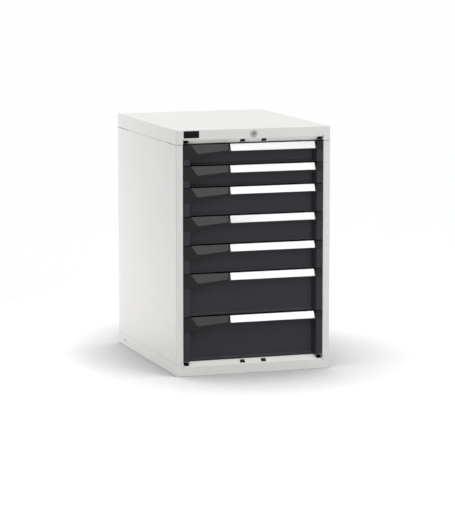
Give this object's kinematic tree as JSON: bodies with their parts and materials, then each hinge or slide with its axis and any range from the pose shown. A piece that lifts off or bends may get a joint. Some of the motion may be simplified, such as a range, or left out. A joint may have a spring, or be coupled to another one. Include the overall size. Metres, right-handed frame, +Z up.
{
  "type": "multi-drawer cabinet",
  "caption": "Floor-standing steel workshop cabinet with stacked label-handle drawers on roller slides and a central lock that bars them all.",
  "frame": {"origin": "on the floor under the middle of the cabinet", "axes": "+Z up, -Y towards the front where the drawers open, +X to the right seen from the front"},
  "size_m": [0.564, 0.729, 0.8575],
  "materials": {
    "carcass": "light grey fine-texture powder coat",
    "drawer_paint": "anthracite powder coat",
    "handle_plastic": "black moulded plastic, fine grain",
    "label": "white card under a clear cover",
    "zinc": "zinc-plated steel",
    "lock_metal": "satin nickel plate",
    "trim_plastic": "black plastic"
  },
  "bodies": {
    "cabinet": {"left_side_panel": "carcass", "right_side_panel": "carcass", "back_panel": "carcass", "top_cover": "carcass", "base_pan": "carcass", "front_uprights": "carcass", "rear_uprights": "carcass", "left_cabinet_rails": "zinc", "right_cabinet_rails": "zinc", "lock_barrel": "lock_metal", "shaft_bracket": "zinc", "bar_guides": "zinc", "badge_plate": "trim_plastic", "slot_caps": "trim_plastic", "back_screws": "zinc"},
    "lock": {"lock_plug": "lock_metal", "lock_shaft": "zinc"},
    "locking_bar": {"locking_bar": "zinc"},
    "drawer_1": {"drawer_1_tray": "drawer_paint", "drawer_1_front": "drawer_paint", "drawer_1_handle": "handle_plastic", "drawer_1_label": "label", "drawer_1_rails": "zinc"},
    "carriage_1": {"drawer_1_carriages": "zinc"},
    "drawer_2": {"drawer_2_tray": "drawer_paint", "drawer_2_front": "drawer_paint", "drawer_2_handle": "handle_plastic", "drawer_2_label": "label", "drawer_2_rails": "zinc"},
    "carriage_2": {"drawer_2_carriages": "zinc"},
    "drawer_3": {"drawer_3_tray": "drawer_paint", "drawer_3_front": "drawer_paint", "drawer_3_handle": "handle_plastic", "drawer_3_label": "label", "drawer_3_rails": "zinc"},
    "carriage_3": {"drawer_3_carriages": "zinc"},
    "drawer_4": {"drawer_4_tray": "drawer_paint", "drawer_4_front": "drawer_paint", "drawer_4_handle": "handle_plastic", "drawer_4_label": "label", "drawer_4_rails": "zinc"},
    "carriage_4": {"drawer_4_carriages": "zinc"},
    "drawer_5": {"drawer_5_tray": "drawer_paint", "drawer_5_front": "drawer_paint", "drawer_5_handle": "handle_plastic", "drawer_5_label": "label", "drawer_5_rails": "zinc"},
    "carriage_5": {"drawer_5_carriages": "zinc"},
    "drawer_6": {"drawer_6_tray": "drawer_paint", "drawer_6_front": "drawer_paint", "drawer_6_handle": "handle_plastic", "drawer_6_label": "label", "drawer_6_rails": "zinc"},
    "carriage_6": {"drawer_6_carriages": "zinc"},
    "drawer_7": {"drawer_7_tray": "drawer_paint", "drawer_7_front": "drawer_paint", "drawer_7_handle": "handle_plastic", "drawer_7_label": "label", "drawer_7_rails": "zinc"},
    "carriage_7": {"drawer_7_carriages": "zinc"}
  },
  "joints": [
    {"name": "lock_turn", "type": "hinge", "parent": "cabinet", "child": "lock", "pos_m": [0, -0.3625, 0.8385], "axis": [0, 1, 0], "range_deg": [0, 90]},
    {"name": "bar_lift", "type": "slide", "parent": "cabinet", "child": "locking_bar", "axis": [0, 0, 1], "range_m": [0, 0.01131]},
    {"name": "drawer_1_slide", "type": "slide", "parent": "cabinet", "child": "drawer_1", "axis": [0, -1, 0], "range_m": [0, 0.6]},
    {"name": "carriage_1_slide", "type": "slide", "parent": "cabinet", "child": "carriage_1", "axis": [0, -1, 0], "range_m": [0, 0.3]},
    {"name": "drawer_2_slide", "type": "slide", "parent": "cabinet", "child": "drawer_2", "axis": [0, -1, 0], "range_m": [0, 0.6]},
    {"name": "carriage_2_slide", "type": "slide", "parent": "cabinet", "child": "carriage_2", "axis": [0, -1, 0], "range_m": [0, 0.3]},
    {"name": "drawer_3_slide", "type": "slide", "parent": "cabinet", "child": "drawer_3", "axis": [0, -1, 0], "range_m": [0, 0.6]},
    {"name": "carriage_3_slide", "type": "slide", "parent": "cabinet", "child": "carriage_3", "axis": [0, -1, 0], "range_m": [0, 0.3]},
    {"name": "drawer_4_slide", "type": "slide", "parent": "cabinet", "child": "drawer_4", "axis": [0, -1, 0], "range_m": [0, 0.6]},
    {"name": "carriage_4_slide", "type": "slide", "parent": "cabinet", "child": "carriage_4", "axis": [0, -1, 0], "range_m": [0, 0.3]},
    {"name": "drawer_5_slide", "type": "slide", "parent": "cabinet", "child": "drawer_5", "axis": [0, -1, 0], "range_m": [0, 0.6]},
    {"name": "carriage_5_slide", "type": "slide", "parent": "cabinet", "child": "carriage_5", "axis": [0, -1, 0], "range_m": [0, 0.3]},
    {"name": "drawer_6_slide", "type": "slide", "parent": "cabinet", "child": "drawer_6", "axis": [0, -1, 0], "range_m": [0, 0.6]},
    {"name": "carriage_6_slide", "type": "slide", "parent": "cabinet", "child": "carriage_6", "axis": [0, -1, 0], "range_m": [0, 0.3]},
    {"name": "drawer_7_slide", "type": "slide", "parent": "cabinet", "child": "drawer_7", "axis": [0, -1, 0], "range_m": [0, 0.6]},
    {"name": "carriage_7_slide", "type": "slide", "parent": "cabinet", "child": "carriage_7", "axis": [0, -1, 0], "range_m": [0, 0.3]}
  ],
  "couplings": [
    {"joint": "lock_turn", "follows": "bar_lift", "rad_per_m": 138.84},
    {"joint": "carriage_1_slide", "follows": "drawer_1_slide", "ratio": 0.5},
    {"joint": "carriage_2_slide", "follows": "drawer_2_slide", "ratio": 0.5},
    {"joint": "carriage_3_slide", "follows": "drawer_3_slide", "ratio": 0.5},
    {"joint": "carriage_4_slide", "follows": "drawer_4_slide", "ratio": 0.5},
    {"joint": "carriage_5_slide", "follows": "drawer_5_slide", "ratio": 0.5},
    {"joint": "carriage_6_slide", "follows": "drawer_6_slide", "ratio": 0.5},
    {"joint": "carriage_7_slide", "follows": "drawer_7_slide", "ratio": 0.5}
  ]
}
